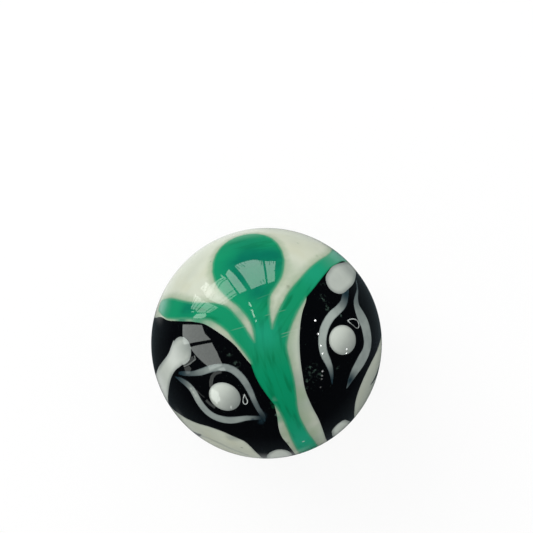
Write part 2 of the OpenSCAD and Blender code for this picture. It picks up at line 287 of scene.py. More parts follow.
def shared_outlines(faces):
    """Corners and stretches of the outlines of all faces, as one net without doubles."""
    ends = np.concatenate([corners[outline(corners, triangles)] for corners, triangles in faces])
    ends = unit_rows(ends.reshape(-1, 3))
    tree = tree_of(ends)
    first = [min(found[1] for found in tree.find_range(end, SLACK)) for end in ends]
    kept = sorted(set(first))
    corner_tree = tree_of(ends[kept])
    corners = ends[kept]
    number = {old: new for new, old in enumerate(kept)}
    stretches = set()
    for a, b in np.array([number[i] for i in first]).reshape(-1, 2):
        if a == b:
            continue
        run = corners[b] - corners[a]
        side = np.cross(corners[a], corners[b])
        side /= np.linalg.norm(side)
        reach = np.linalg.norm(run)
        between = []
        for _, c, _ in corner_tree.find_range((corners[a] + corners[b]) / 2, reach / 2):
            along = (corners[c] - corners[a]) @ run / reach
            if SLACK < along < reach - SLACK and abs(corners[c] @ side) < SLACK:
                between.append((along, c))
        chain = [a, *(c for _, c in sorted(between)), b]
        stretches.update(frozenset(pair) for pair in zip(chain, chain[1:]))
    return corners, stretches


def turn_at(corners, before, here, after):
    """Angle by which a line turns at a corner."""
    came = Vector(corners[here] - corners[before])
    goes = Vector(corners[after] - corners[here])
    return came.angle(goes)


def runs(corners, stretches):
    """The net's stretches as runs of corners, each from one branch or sharp corner to the next."""
    neighbours = {}
    for a, b in stretches:
        neighbours.setdefault(a, []).append(b)
        neighbours.setdefault(b, []).append(a)
    sharp = settings().skin.corner_turn
    stops = {
        here for here, near in neighbours.items()
        if len(near) != 2 or turn_at(corners, near[0], here, near[1]) > sharp
    }
    unused = set(stretches)
    for start in [*sorted(stops), *sorted(neighbours)]:
        for onward in neighbours[start]:
            if frozenset((start, onward)) not in unused:
                continue
            run = [start]
            while frozenset((run[-1], onward)) in unused:
                unused.discard(frozenset((run[-1], onward)))
                run.append(onward)
                if onward in stops:
                    break
                onward = next(near for near in neighbours[onward] if near != run[-2])
            yield run


def smooth_run(points, step, sharp_start=False):
    """Points of a smooth curve through the given ones, about a step apart, with their ends.
    One that comes back to its start goes through it smoothly too, unless that is a sharp corner."""
    chords = points[1:] - points[:-1]
    reach = lengths(chords)[:, None]
    heading = chords / reach
    tangents = np.empty_like(points)
    tangents[1:-1] = heading[:-1] * reach[1:] + heading[1:] * reach[:-1]
    if np.array_equal(points[0], points[-1]) and len(points) > 3 and not sharp_start:
        tangents[0] = tangents[-1] = heading[-1] * reach[0] + heading[0] * reach[-1]
    elif len(points) > 2:
        tangents[1:-1] = unit_rows(tangents[1:-1])
        tangents[0] = 2 * heading[0] - tangents[1]
        tangents[-1] = 2 * heading[-1] - tangents[-2]
    else:
        tangents[:] = heading[0]
    tangents = unit_rows(tangents)
    curve = []
    for i in range(len(chords)):
        t = np.linspace(0, 1, max(1, round(float(reach[i, 0]) / step)) + 1)[:-1, None]
        curve.append(
            (1 + 2 * t) * (1 - t) ** 2 * points[i] + t * (1 - t) ** 2 * reach[i] * tangents[i]
            + t * t * (3 - 2 * t) * points[i + 1] + t * t * (t - 1) * reach[i] * tangents[i + 1]
        )
    return unit_rows(np.concatenate([*curve, points[-1:]]))


# ---------------------------------------------------------------- the ball's skin


def even_directions(step):
    """Directions spread evenly over the ball, about a step apart."""
    count = round(4 * math.pi / (0.866 * step * step))
    index = np.arange(count) + 0.5
    height = 1 - 2 * index / count
    turn = math.pi * (1 + math.sqrt(5)) * index
    rim = np.sqrt(1 - height * height)
    return np.stack([np.cos(turn) * rim, np.sin(turn) * rim, height], axis=1)


def flatten(directions):
    """Map of the ball, drawn out from the middle of its back, that keeps circles round."""
    return directions[:, :2] / (1 + directions[:, 2:])


def unflatten(flat):
    square = (flat * flat).sum(axis=1)[:, None]
    return np.hstack([2 * flat, 1 - square]) / (1 + square)


class Skin:
    """One net of triangles over the whole ball, with the colour of glass of each triangle."""

    def __init__(self):
        sizes = settings().skin
        self.names = list(SOLIDS)
        faces = [outer_face(SOLIDS[name]) for name in self.names]
        line_points, line_stretches = self.outline_points(faces, sizes.outline_step / RADIUS)
        filling = self.filling(line_points, sizes)
        self.triangulate(np.concatenate([line_points, filling]), line_stretches)
        self.name_regions(faces)

    def outline_points(self, faces, step):
        """Points along all outlines, and the pairs of them that are joined."""
        corners, stretches = shared_outlines(faces)
        points = list(corners)
        joined = []
        for run in runs(corners, stretches):
            curve = smooth_run(corners[run], step)
            numbers = [run[0]]
            for point in curve[1:-1]:
                numbers.append(len(points))
                points.append(point)
            numbers.append(run[-1])
            joined.extend(zip(numbers, numbers[1:]))
        return np.array(points), joined

    def filling(self, line_points, sizes):
        """Corners between the outlines, finer near them, and a ring round the middle of the back."""
        tree = tree_of(line_points)
        kept = []
        fine = sizes.fine_step / RADIUS
        plain = sizes.plain_step / RADIUS
        reach = sizes.fine_reach / RADIUS
        for step, nearest, furthest in ((fine, 0.6 * fine, reach), (plain, reach + 0.3 * plain, 2)):
            spread = even_directions(step)
            gap = np.array([tree.find(direction)[2] for direction in spread])
            kept.append(spread[(gap > nearest) & (gap < furthest)])
        spread = np.concatenate(kept)
        ring = lengths(spread[:, :2])
        spread = spread[(spread[:, 2] > 0) | (ring > 1.6 * plain)]
        turns = np.linspace(0, 2 * math.pi, 9)[:-1]
        height = -math.sqrt(1 - plain * plain)
        pole_ring = [(math.cos(turn) * plain, math.sin(turn) * plain, height) for turn in turns]
        return np.concatenate([spread, pole_ring])

    def triangulate(self, points, joined):
        """Fits triangles between the points, with the outlines among their sides."""
        flat = [Vector(point) for point in flatten(points)]
        found = geometry.delaunay_2d_cdt(flat, joined, [], 0, 1e-7)
        corners, sides, triangles, _, origins, _ = found
        self.lines = {frozenset(side) for side, origin in zip(sides, origins) if origin}
        corners = unflatten(np.array([tuple(corner) for corner in corners]))
        triangles = np.array(triangles)
        directed = {side for a, b, c in triangles for side in ((a, b), (b, c), (c, a))}
        rim = [side for side in directed if side[::-1] not in directed]
        pole = len(corners)
        self.corners = np.vstack([corners, (0, 0, -1)])
        self.triangles = np.vstack([triangles, [(b, a, pole) for a, b in rim]])

    def name_regions(self, faces):
        """Gives each triangle the colour of glass that most of its region lies on."""
        points = []
        polygons = []
        owner = []
        for number, (corners, triangles) in enumerate(faces):
            polygons.extend((triangles + len(points)).tolist())
            points.extend(corners.tolist())
            owner.extend([number] * len(triangles))
        ball = BVHTree.FromPolygons(points, polygons)
        middles = self.corners[self.triangles].mean(axis=1)
        hits = [ball.ray_cast((0, 0, 0), middle)[2] for middle in middles]
        votes = np.array([-1 if hit is None else owner[hit] for hit in hits])
        self.glass = np.full(len(votes), -1)
        beside = {}
        for number, (a, b, c) in enumerate(self.triangles.tolist()):
            for side in (frozenset((a, b)), frozenset((b, c)), frozenset((c, a))):
                beside.setdefault(side, []).append(number)
        self.beside = beside
        steps = [[] for _ in votes]
        for side, pair in beside.items():
            if side not in self.lines and len(pair) == 2:
                steps[pair[0]].append(pair[1])
                steps[pair[1]].append(pair[0])
        for start in range(len(votes)):
            if self.glass[start] >= 0:
                continue
            region = [start]
            self.glass[start] = 0
            for here in region:
                for near in steps[here]:
                    if self.glass[near] < 0:
                        self.glass[near] = 0
                        region.append(near)
            cast = votes[region]
            winner = np.bincount(cast[cast >= 0], minlength=len(self.names)).argmax()
            if len(region) > LARGE_REGION and (cast == winner).mean() < SURE_SHARE:
                raise RuntimeError(f"the outline of {self.names[winner]} isn't closed")
            self.glass[region] = winner

    def line_between(self, ones, others):
        """Points along the outlines at which one of some colours meets one of others."""
        ones = {self.names.index(name) for name in ones}
        others = {self.names.index(name) for name in others}
        points = []
        for side, pair in self.beside.items():
            first, second = (self.glass[number] for number in pair)
            if (first in ones and second in others) or (first in others and second in ones):
                a, b = (self.corners[corner] for corner in side)
                points.extend(a + (b - a) * share for share in (0, 0.25, 0.5, 0.75))
        return points

    def distance(self, corner_numbers, ones, others):
        """How far corners lie from the outlines between some colours and others, in millimetres."""
        points = self.line_between(ones, others)
        if not points:
            return np.full(len(corner_numbers), 100.0)
        tree = tree_of(points)
        gaps = [tree.find(self.corners[number])[2] for number in corner_numbers]
        return np.array(gaps) * RADIUS / MM


SKIN = []


def skin():
    """The ball's skin, made on first use."""
    if not SKIN:
        SKIN.append(Skin())
    return SKIN[0]


def underside(name):
    """Reach from the middle of the ball to the underside of a colour of glass."""
    return min(v.co.length for v in SOLIDS[name].data.vertices)


def layers(name):
    """A colour of glass and those under it, down to the ball."""
    return [name, *layers(BED[name])] if name in BED else [name]


def top_of(name, shown):
    """Reach of the upper face of a colour where another one shows, or None beside it."""
    stack = layers(shown)
    if name not in stack:
        return None
    level = stack.index(name)
    return RADIUS if level == 0 else underside(stack[level - 1])


def glass_piece(name, marks):
    """Closed mesh of one colour of glass: its face on the ball, its underside and the
    walls between, with the distances to neighbouring colours kept as attributes."""
    ball = skin()
    tops = {number: top_of(name, shown) for number, shown in enumerate(ball.names)}
    floor = underside(name) if name in BED else None
    rows = [(t, tops[glass]) for t, glass in zip(ball.triangles.tolist(), ball.glass.tolist())]
    rows = [(t, top) for t, top in rows if top is not None]
    height = {}
    for (a, b, c), top in rows:
        height[a, b] = height[b, c] = height[c, a] = top
    points = {}
    faces = []

    def corner(number, reach):
        return points.setdefault((number, reach), len(points))

    for t, top in rows:
        faces.append([corner(number, top) for number in t])
    upper_faces = len(faces)
    if floor is not None:
        faces.extend([corner(number, floor) for number in reversed(t)] for t, _ in rows)
    for (a, b), top in height.items():
        low = height.get((b, a), floor)
        if top > low:
            faces.append([corner(a, top), corner(a, low), corner(b, low), corner(b, top)])
    numbers = np.array([number for number, _ in points])
    reaches = np.array([reach for _, reach in points])
    directions = ball.corners[numbers]
    mesh = new_mesh(name, (directions * reaches[:, None]).tolist(), faces)
    round_normals(mesh, upper_faces, directions)
    for mark, (ones, others) in marks.items():
        layer = mesh.attributes.new(mark, "FLOAT", "POINT")
        layer.data.foreach_set("value", ball.distance(numbers, ones, others).astype(np.float32))
    return mesh


def round_normals(mesh, upper_faces, directions):
    """Makes the upper faces of a piece reflect as the true ball does."""
    mesh.polygons.foreach_set("use_smooth", [True] * len(mesh.polygons))
    normals = []
    for face in mesh.polygons:
        if face.index < upper_faces:
            normals.extend(directions[corner] for corner in face.vertices)
        else:
            normals.extend([face.normal] * len(face.vertices))
    mesh.normals_split_custom_set([tuple(normal) for normal in normals])


# ---------------------------------------------------------------- shader maths

# Tints of each glass, in the order in which they are laid: the name of the colour, and for each
# of its tints the place's two degrees, the reach in millimetres and the share.
TINTS = {
    "opal_ball": (
        ("opal_grey_and_shade", [
            (17, -18, 3.0, 0.5), (20, -31, 3.0, 0.5), (17, -26, 1.0, 0.3),
            (66, -30, 9.0, 0.6), (32, -58, 5.0, 0.4), (26, -44, 4.0, 0.3),
        ]),
        ("tan", [(12, 38, 2.6, 0.42)]),
        ("opal_grey_and_shade", [(-19.4, -53.4, 1.6, 0.9), (-60, -50, 3.0, 0.4)]),
        ("green_thin", [
            (13, 0, 5.0, 0.14), (19, -28, 3.0, 0.14), (23, -36, 3.0, 0.06),
            (31, -54, 4.0, 0.13), (-17, 17.5, 2.0, 0.16), (6.1, -37.6, 1.4, 0.7),
        ]),
        ("tan", [
            (16.3, -25.3, 2.2, 0.8), (18.3, -35.4, 2.0, 0.5), (21.5, -40.5, 2.2, 0.55),
            (26, -51, 2.2, 0.6), (31.4, -59.7, 2.6, 0.2), (8.5, -48.9, 1.8, 0.6),
            (13.5, 31, 2.6, 0.22),
        ]),
        ("ivory_warm", [(20, 55, 5.0, 0.3)]),
        ("green_thin", [
            (-45, 13.2, 2.4, 1.0), (-35, 12, 2.4, 1.0), (-28, 10.5, 1.8, 0.5),
            (-14, 13, 1.8, 0.5),
        ]),
        ("green_deep", [(-45, 13.2, 1.6, 0.65), (-33, 11.5, 1.4, 0.2)]),
        ("ivory", [(8.5, 20, 0.9, 0.25), (-62, 18, 2.2, 0.8)]),
        ("tan", [(19, 58.7, 0.35, 0.6), (28.3, 50, 0.4, 0.6)]),
        ("black", [
            (11.9, -56.7, 0.5, 0.6), (-15, -62.3, 0.35, 0.8), (-9, -59.5, 0.25, 0.6),
            (-54, 29.5, 0.25, 0.7), (10.3, 27, 0.35, 0.5), (-32.3, 45.2, 0.25, 0.5),
            (-49, 27, 0.2, 0.7),
        ]),
        ("white_dense", [(5.8, -38.8, 0.35, 1.0)]),
    ),
    "green_figure": (
        ("green_light", [(-1, 4, 3.6, 0.55)]),
        ("green_deep", [(-19, 40, 3.0, 0.4), (-11, 55, 4.5, 0.4)]),
        ("green_light", [
            (14, -44, 3.6, 0.3), (20, -56, 4.5, 0.75), (26, -67, 4.0, 0.6),
            (26, 38, 5.5, 0.45),
        ]),
        ("green_deep", [
            (-4, 36, 5.5, 0.7), (-15, 31, 3.0, 0.5), (-12, 44.5, 3.2, 0.95),
            (-6, 46.5, 2.8, 0.85), (0, 47, 2.8, 0.85), (5, 47, 2.4, 0.9),
            (4, 40, 2.0, 0.6), (-15, 34, 2.2, 0.6), (-4, 25, 2.4, 0.75),
            (-42, 19, 2.6, 0.7),
        ]),
        # Pale green at the places near the rim is a painted reflection.
        ("green_pale_and_sheen", [
            (58, 66, 12.0, 0.95), (31, -84, 4.5, 0.6), (-66, 21, 4.0, 0.5),
            (4.2, -26.6, 0.7, 0.3),
        ]),
        ("white", [(22, -58, 0.3, 1.0)]),
    ),
    "black": (
        ("trail_thin", [(-1.9, -36.4, 0.9, 0.55), (-2.3, -38.4, 0.8, 0.6), (-2.8, -40.4, 0.7, 0.6)]),
        ("green_streak", [(2.8, -29, 0.5, 0.2), (3.6, -31.2, 0.5, 0.25)]),
        ("fleck", [(4.8, -36, 0.3, 1.0)]),
    ),
    "left_eye_upper_trail": (
        ("trail_thin", [(-1, -40, 5.0, 1.0), (-5, -30, 2.2, 0.3)]),
        ("black", [(-2, -37, 1.6, 0.4)]),
        ("trail_thin", [(-8.5, -21, 2.0, 0.17), (-38, -15.5, 3.0, 0.35), (-47, -16.5, 4.6, 1.0)]),
    ),
    "left_eye_lower_trail": (
        ("trail_thin", [(-1, -38.5, 3.4, 1.0), (-7, -39, 0.5, 0.7), (-51, -18.8, 5.6, 1.0)]),
        ("white", [(-37, -27, 3.0, 0.16)]),
        ("black", [(-2.4, -37.6, 1.6, 0.4)]),
        ("white", [(-40.1, -24.1, 0.4, 0.45), (-38.7, -26, 0.4, 0.45), (-37.6, -27.8, 0.4, 0.35)]),
    ),
    "right_eye_inner_trail": (
        ("trail_thin", [(33.5, -20, 4.8, 1.0), (43.5, 27.4, 5.3, 1.0)]),
    ),
    "right_eye_outer_trail": (
        ("trail_thin", [(45, -20, 2.3, 1.0), (54.5, 34, 4.2, 0.72), (51, 23.5, 2.6, 0.5)]),
    ),
    "white_comma": (
        # Painted shade: the comma's head is darkened towards its right side, away from the light.
        ("white_thin_and_shade", [(-43, -3, 4.0, 0.35), (-40, -2, 1.8, 0.6)]),
        ("white_dense", [(-51, -8, 3.0, 0.3), (-73, -29, 4.8, 0.8)]),
    ),
    "upper_drop": (
        # Painted shade: the drop is darkened on its side away from the light.
        ("white_thin_and_shade", [(40, 34, 4.0, 0.2), (52, 46, 4.0, 0.5)]),
    ),
}

# Scratches as start, end, width in millimetres and share of their colour.
SCRATCHES = (
    ((6.2, 4), (17.3, 7.4), 0.12, 0.24),
    ((6.5, 2.6), (13.5, 5), 0.12, 0.16),
    ((-1.6, 12.6), (9.9, 16), 0.12, 0.14),
    ((-5.4, 20.8), (4.2, 24.6), 0.12, 0.05),
    ((-17.6, 5.8), (-6, 8.8), 0.12, 0.13),
)


class Value:
    """A socket of a node tree, on which sums can be written."""

    def __init__(self, shader, socket):
        self.shader = shader
        self.socket = socket

    def maths(self, operation, *values):
        return self.shader.node("ShaderNodeMath", {"operation": operation}, dict(enumerate(values)))

    def __add__(self, other):
        return self.maths("ADD", self, other)

    def __sub__(self, other):
        return self.maths("SUBTRACT", self, other)

    def __rsub__(self, other):
        return self.maths("SUBTRACT", other, self)

    def __mul__(self, other):
        return self.maths("MULTIPLY", self, other)

    __radd__ = __add__
    __rmul__ = __mul__

    def above(self, low, high):
        """0 below the low value and 1 above the high one, with a soft step between."""
        kind = {"interpolation_type": "SMOOTHSTEP"}
        return self.shader.node("ShaderNodeMapRange", kind, {0: self, 1: low, 2: high})

    def below(self, low, high):
        return 1 - self.above(low, high)

    def size(self):
        return self.maths("ABSOLUTE", self)


class Shader:
    """The nodes of one material, or of the world."""

    def __init__(self, owner):
        owner.use_nodes = True
        self.tree = owner.node_tree
        self.tree.nodes.clear()
        kind = "World" if isinstance(owner, bpy.types.World) else "Material"
        self.end = self.tree.nodes.new("ShaderNodeOutput" + kind)

    def node(self, kind, options=None, sockets=None, output=0):
        """Adds a node, sets its options and then its sockets, and returns one of its outputs."""
        made = self.tree.nodes.new(kind)
        for option, value in (options or {}).items():
            setattr(made, option, value)
        for name, value in (sockets or {}).items():
            if isinstance(value, Value):
                self.tree.links.new(value.socket, made.inputs[name])
            else:
                made.inputs[name].default_value = value
        return Value(self, made.outputs[output])

    def mix(self, share, one, other):
        """Colour between two colours."""
        one, other = (c if isinstance(c, Value) else (*c, 1) for c in (one, other))
        return self.node("ShaderNodeMix", {"data_type": "RGBA"}, {0: share, 6: one, 7: other}, 2)

    def mark(self, name):
        """A distance kept in the mesh, in millimetres."""
        return self.node("ShaderNodeAttribute", {"attribute_name": name}, output="Fac")

    def position(self):
        """Where the point is on the ball, in millimetres."""
        point = self.node("ShaderNodeTexCoord", output="Object")
        return self.vector("SCALE", point, Scale=1 / MM)

    def vector(self, operation, *values, output=0, **named):
        sockets = {**dict(enumerate(values)), **named}
        return self.node("ShaderNodeVectorMath", {"operation": operation}, sockets, output)

    def noise(self, point, size, detail=2.0, stretch=(1, 1, 1)):
        """Cloudy pattern with features of about the given size in millimetres, from 0 to 1."""
        return self.pattern(self.vector("MULTIPLY", point, stretch), 1 / size, detail)

    def pattern(self, point, scale, detail, output=0):
        """Blender's own noise, at a number of features to the millimetre."""
        sockets = {"Vector": point, "Scale": scale, "Detail": detail}
        return self.node("ShaderNodeTexNoise", None, sockets, output)

    def near(self, point, where, reach):
        """1 at a place on the ball, fading to 0 at a reach in millimetres."""
        middle = place(*where) * RADIUS / MM
        gap = self.vector("DISTANCE", point, middle, output="Value")
        return gap.below(0, reach)

    def along(self, point, direction):
        """How far a point lies in a direction, in millimetres."""
        return self.vector("DOT_PRODUCT", point, Vector(direction).normalized(), output="Value")

    def beside(self, point, start, end):
        """How far a point lies to the left of the line between two places, in millimetres."""
        return self.along(point, place(*start).cross(place(*end)))

    def hairline(self, point, start, end, width):
        """1 along a line between two places on the ball, fading over a width in millimetres."""
        a = place(*start)
        b = place(*end)
        middle = (a + b).normalized()
        half = math.sin(a.angle(b) / 2) * RADIUS / MM
        run = self.along(point, a.cross(b).cross(middle)).size()
        front = self.along(point, middle).above(0, 1)
        line = self.beside(point, start, end).size().below(0, width)
        return line * run.below(0.6 * half, half) * front

    def streaks(self, point, direction, size, stretch):
        """Cloudy pattern drawn out in a direction, with streaks about a size wide in millimetres."""
        ahead = Vector(direction).normalized()
        across = ahead.cross(Vector((0, 0, 1))).normalized()
        rows = {0: self.along(point, ahead) * (1 / stretch)}
        rows[1] = self.along(point, across)
        rows[2] = self.along(point, ahead.cross(across)) * 0.5
        drawn = self.node("ShaderNodeCombineXYZ", None, rows)
        return self.pattern(drawn, 1 / size, 3.0)

    def scratched(self, point, colour, strength=1.0):
        """Colour with the hairline scratches of the surface over it."""
        scratches = 0.0
        for start, end, width, share in SCRATCHES:
            scratches = self.hairline(point, start, end, width) * (share * strength) + scratches
        return self.mix(scratches, colour, settings().glass.scratch)

    def bent(self, point):
        """The point, shifted a little by a slow pattern, so that shapes drawn with it look poured."""
        drift = self.vector("SUBTRACT", self.pattern(point, 0.4, 2.0, "Color"), (0.5, 0.5, 0.5))
        return self.vector("ADD", point, self.vector("SCALE", drift, Scale=1.6))

    def tinted(self, point, colour, name):
        """Colour with a glass's own tints over it, each at its place."""
        for tone, tints in TINTS.get(name, ()):
            for east, north, reach, share in tints:
                tint = self.near(point, (east, north), reach) * share
                colour = self.mix(tint, colour, getattr(settings().glass, tone))
        return colour

    def glass(self, colour, bulge=None):
        """Fire-polished glass: a clear smooth surface over coloured glass that may bulge under it."""
        polish = settings().glass.polish
        sockets = {
            "Base Color": colour,
            "Roughness": 0.6,
            "Specular IOR Level": 0.0,
            "Coat Weight": 1.0,
            "Coat Roughness": polish,
            "Coat IOR": 1.5,
        }
        if bulge is not None:
            height = {"Height": bulge, "Distance": MM, "Strength": 1.0}
            sockets["Normal"] = self.node("ShaderNodeBump", None, height)
        self.show(self.node("ShaderNodeBsdfPrincipled", None, sockets))

    def light(self, colour, strength=1.0):
        """Even light of a colour."""
        return self.node("ShaderNodeEmission", None, {"Color": colour, "Strength": strength})

    def show(self, surface):
        self.tree.links.new(surface.socket, self.end.inputs["Surface"])


def new_glass(name):
    material = bpy.data.materials.new(name)
    return material, Shader(material)


# ---------------------------------------------------------------- kinds of glass


# Fold in the foot of the opal glass, as stretches between places.
FOLD = (
    ((-47, -61), (-36, -60)),
    ((-38, -60), (-29, -62.8)),
    ((-31, -61.8), (-22, -67.6)),
    ((-24, -66.6), (-15.5, -71)),
    ((-17.5, -70), (-11, -75.5)),
)


def opal_glass():
    """Ivory glass with faint clouds, stained beside the green and darkened beside the black by painted shade.
    """
    material, shader = new_glass("opal_glass")
    glass = settings().glass
    point = shader.position()
    cloud = shader.noise(point, 7, 3).above(0.4, 0.7)
    colour = shader.mix(cloud * 0.5, glass.ivory, glass.ivory_grey)
    warmth = shader.noise(point, 4, 2, (1, 0.6, 1)).above(0.45, 0.7)
    colour = shader.mix(warmth * 0.4, colour, glass.ivory_warm)
    wander = shader.noise(point, 0.8, 2)
    below = shader.beside(point, (-46, -61), (-16, -71)) + wander * 0.4
    foot = below.below(-0.6, 0.2) * shader.along(point, (0, -1, 0)).above(4, 8)
    foot = foot * shader.along(point, (1, 0, 0)).below(-5, -3)
    colour = shader.mix(foot * 0.45, colour, glass.ivory_warm)
    for start, end in FOLD:
        fold = shader.hairline(point, start, end, 0.7)
        colour = shader.mix(fold * 0.6, colour, glass.opal_grey_and_shade)
    # Painted shade: the opal darkens next to the black, as if the black shaded the translucent glass.
    shade_by_black = (shader.mark("to_black") + wander * 0.2).below(0.05, 0.6)
    colour = shader.mix(shade_by_black * 0.7, colour, glass.opal_grey_and_shade)
    by_green = (shader.mark("to_green") + wander * 0.6 - 0.3).below(0, 1.5)
    colour = shader.mix(by_green * 0.8, colour, glass.tan)
    edge = (shader.mark("to_green") + wander * 0.12).below(0.02, 0.36)
    colour = shader.mix(edge * 0.85, colour, glass.green_thin)
    colour = shader.tinted(shader.bent(point), colour, "opal_ball")
    shader.glass(shader.scratched(point, colour))
    return material


# Directions in which the green was drawn, each with the place and reach where it shows.
DRAWN = (
    ((0.34, -0.9, -0.2), (8, -30), 12),
    ((0.1, -1, 0), (-2, 0), 5),
    ((0.55, 0.8, -0.2), (12, 18), 7),
    ((-0.95, 0.2, -0.3), (-34, 15), 5),
    ((1, 0.25, 0), (-6, 50), 7),
)


def green_glass():
    """Green glass, deeper where it is thick and paler where it runs out, drawn in streaks, with a painted
    reflection that pales it towards the rim and round to the back.
    """
    material, shader = new_glass("green_glass")
    glass = settings().glass
    point = shader.position()
    clouds = shader.noise(point, 2.5, 2) * 1.6 - 0.8
    stem = (shader.along(point, (0.1, -1, 0)) + clouds).above(1, 5)
    colour = shader.mix(stem, glass.green, glass.green_stem)
    for direction, where, reach in DRAWN:
        streak = shader.streaks(point, direction, 0.8, 9).above(0.47, 0.7)
        streak = streak * shader.near(point, where, reach).above(0, 0.5)
        colour = shader.mix(streak * 0.6, colour, glass.green_streak)
    colour = shader.tinted(shader.bent(point), colour, "green_figure")
    # Painted reflection: the green is paled towards the rim and the back, where the polished surface mirrors
    # the room.
    back = shader.along(point, (0, 0, 1)).below(-3, 4)
    colour = shader.mix(back * 0.7, colour, glass.green_pale_and_sheen)
    wander = shader.noise(point, 0.8, 2)
    edge = (shader.mark("to_white") + wander * 0.2).below(0.05, 0.5)
    colour = shader.mix(edge * 0.8, colour, glass.green_thin)
    dark_edge = (shader.mark("to_black") + wander * 0.15).below(0.05, 0.35)
    colour = shader.mix(dark_edge * 0.8, colour, glass.green_streak)
    shader.glass(shader.scratched(point, colour))
    return material


# Places of the pale flecks in the black, each with its reach in millimetres.
FLECKS = (
    (22, -12, 1.2),
    (20.5, -18, 1.2),
    (19, -20.5, 0.8),
    (26, -16, 0.6),
    (28, 23, 0.9),
    (30, 18, 0.7),
    (29, 31, 0.6),
    (38, 14.5, 0.4),
    (36, -12, 0.5),
    (-18, -4, 0.9),
    (-14, -10, 0.7),
)


def black_glass():
    """Deep bluish black glass with a few pale flecks in it."""
    material, shader = new_glass("black_glass")
    glass = settings().glass
    point = shader.position()
    grain = shader.noise(point, 0.5, 3).above(0.5, 0.68)
    spread = 0.0
    for east, north, reach in FLECKS:
        spread = shader.near(point, (east, north), reach) + spread
    dust = shader.noise(point, 0.16, 1).above(0.74, 0.8) * 0.5
    colour = shader.mix(spread * grain + dust, glass.black, glass.fleck)
    colour = shader.tinted(point, colour, "black")
    shader.glass(shader.scratched(point, colour, 0.35))
    return material


# How dense each trail is.
TRAIL_DENSITY = {
    "left_eye_upper_trail": 0.6,
    "left_eye_lower_trail": 0.7,
    "right_eye_inner_trail": 0.92,
    "right_eye_outer_trail": 0.72,
}


def trail_glass(name):
    """White glass drawn out thin over the black, which shows through at its edges and ends."""
    material, shader = new_glass(name + "_glass")
    glass = settings().glass
    point = shader.position()
    wander = shader.noise(point, 1.2, 2)
    body = (shader.mark("to_edge") + wander * 0.16 - 0.08).above(-0.12, 0.22)
    cloud = shader.noise(point, 1.6, 3).above(0.35, 0.75)
    body = body * (1 - cloud * 0.2) * TRAIL_DENSITY[name]
    colour = shader.tinted(point, shader.mix(body, glass.trail_thin, glass.trail), name)
    shader.glass(shader.scratched(point, colour))
    return material


# How dense each drop is.
DROP_DENSITY = {"white_comma": 0.72, "upper_drop": 0.7, "bottom_drop": 0.9, "lower_drop": 0.9}


def white_glass(name):
    """Dense white glass of a drop, greyer towards its edge."""
    material, shader = new_glass(name + "_glass")
    glass = settings().glass
    point = shader.position()
    wander = shader.noise(point, 1.5, 2)
    body = (shader.mark("to_edge") + wander * 0.12 - 0.06).above(-0.25, 0.8)
    cloud = shader.noise(point, 2.2, 2).above(0.4, 0.75)
    body = body * (1 - cloud * 0.15) * DROP_DENSITY[name]
    colour = shader.tinted(point, shader.mix(body, glass.white_thin_and_shade, glass.white), name)
    shader.glass(colour)
    return material


# The middle of each dot.
DOT_MIDDLE = {"left_eye_dot": (-21, -26.8), "right_eye_dot": (39.2, 1.7)}


def dot_glass(name):
    """Dense white bead that bulges under the surface, with painted shade on its lower right, away from the
    light.
    """
    material, shader = new_glass(name + "_glass")
    glass = settings().glass
    point = shader.position()
    middle = place(*DOT_MIDDLE[name]) * RADIUS / MM
    out = shader.vector("SUBTRACT", point, middle)
    gap = shader.vector("LENGTH", out, output="Value")
    wander = shader.noise(point, 1.5, 2)
    # Painted shade: the bead's colour darkens towards its lower right, away from the light.
    side = shader.along(out, (1, -0.55, 0)) + wander * 0.6 - 0.3
    body = side.below(-2.4, 3.4) * (shader.mark("to_edge") + wander * 0.1).above(-0.2, 0.5)
    colour = shader.mix(body, glass.white_thin_and_shade, glass.white)
    shader.glass(colour, gap * gap * -0.09)
    return material


# Each bubble's outline, which starts at its sharp corner, and where its painted glint is
# brightest, with the reach in millimetres.
BUBBLES = {
    "teardrop_bubble": (
        [
            (-10.7, -24.6), (-10, -26.5), (-9.3, -28.3), (-9.7, -29.7),
            (-10.6, -30.1), (-11.4, -29.3), (-11.5, -27.9), (-11.1, -26.2),
        ],
        [((-10.2, -30.2), 1.0), ((-9.3, -28), 0.8), ((-11.4, -25.6), 0.5)],
    ),
    "half_moon_bubble": (
        [
            (42.4, 11.8), (44.5, 12.7), (47.2, 13), (49.5, 12.2), (50.5, 10.4),
            (50.1, 8.6), (49, 8.1), (46.3, 9.4), (44.2, 10.6),
        ],
        [((46, 13.6), 1.2), ((50.8, 10.5), 1.0), ((43, 11.8), 0.7)],
    ),
}


def painted_bubble_glint(name):
    """Bright line round a bubble, a painted reflection that is brighter on one side than on the other."""
    material, shader = new_glass(name + "_glass")
    glass = settings().glass
    point = shader.position()
    colour = shader.mix(0.35, glass.black, glass.bubble)
    for where, reach in BUBBLES[name][1]:
        painted_glint = shader.near(point, where, reach).above(0, 0.5)
        colour = shader.mix(painted_glint, colour, glass.bubble)
    shader.glass(colour)
    return material


# ---------------------------------------------------------------- pieces


def new_piece(name, mesh, material):
    piece = new_object(name, mesh)
    mesh.materials.append(material)
    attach(piece, "root")
    return piece


def lay_glass(name, material, marks):
    """Lays one colour of glass in place of its solid."""
    piece = new_piece(name + "_glass", glass_piece(name, marks), material)
    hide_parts(name)


def own_edge(name):
    """Mark of the distance to all other glass."""
    return {"to_edge": ([name], [other for other in SOLIDS if other != name])}


class MARBLE_OT_opal_ball(Operator):
    """Lay the opal ball that carries all the other glass"""

    bl_idname = "marble.opal_ball"
    bl_label = "Opal ball"

    def execute(self, context):
        marks = {"to_green": (["green_figure"], ["opal_ball"]), "to_black": (BLACK, ["opal_ball"])}
        lay_glass("opal_ball", opal_glass(), marks)
        return {"FINISHED"}


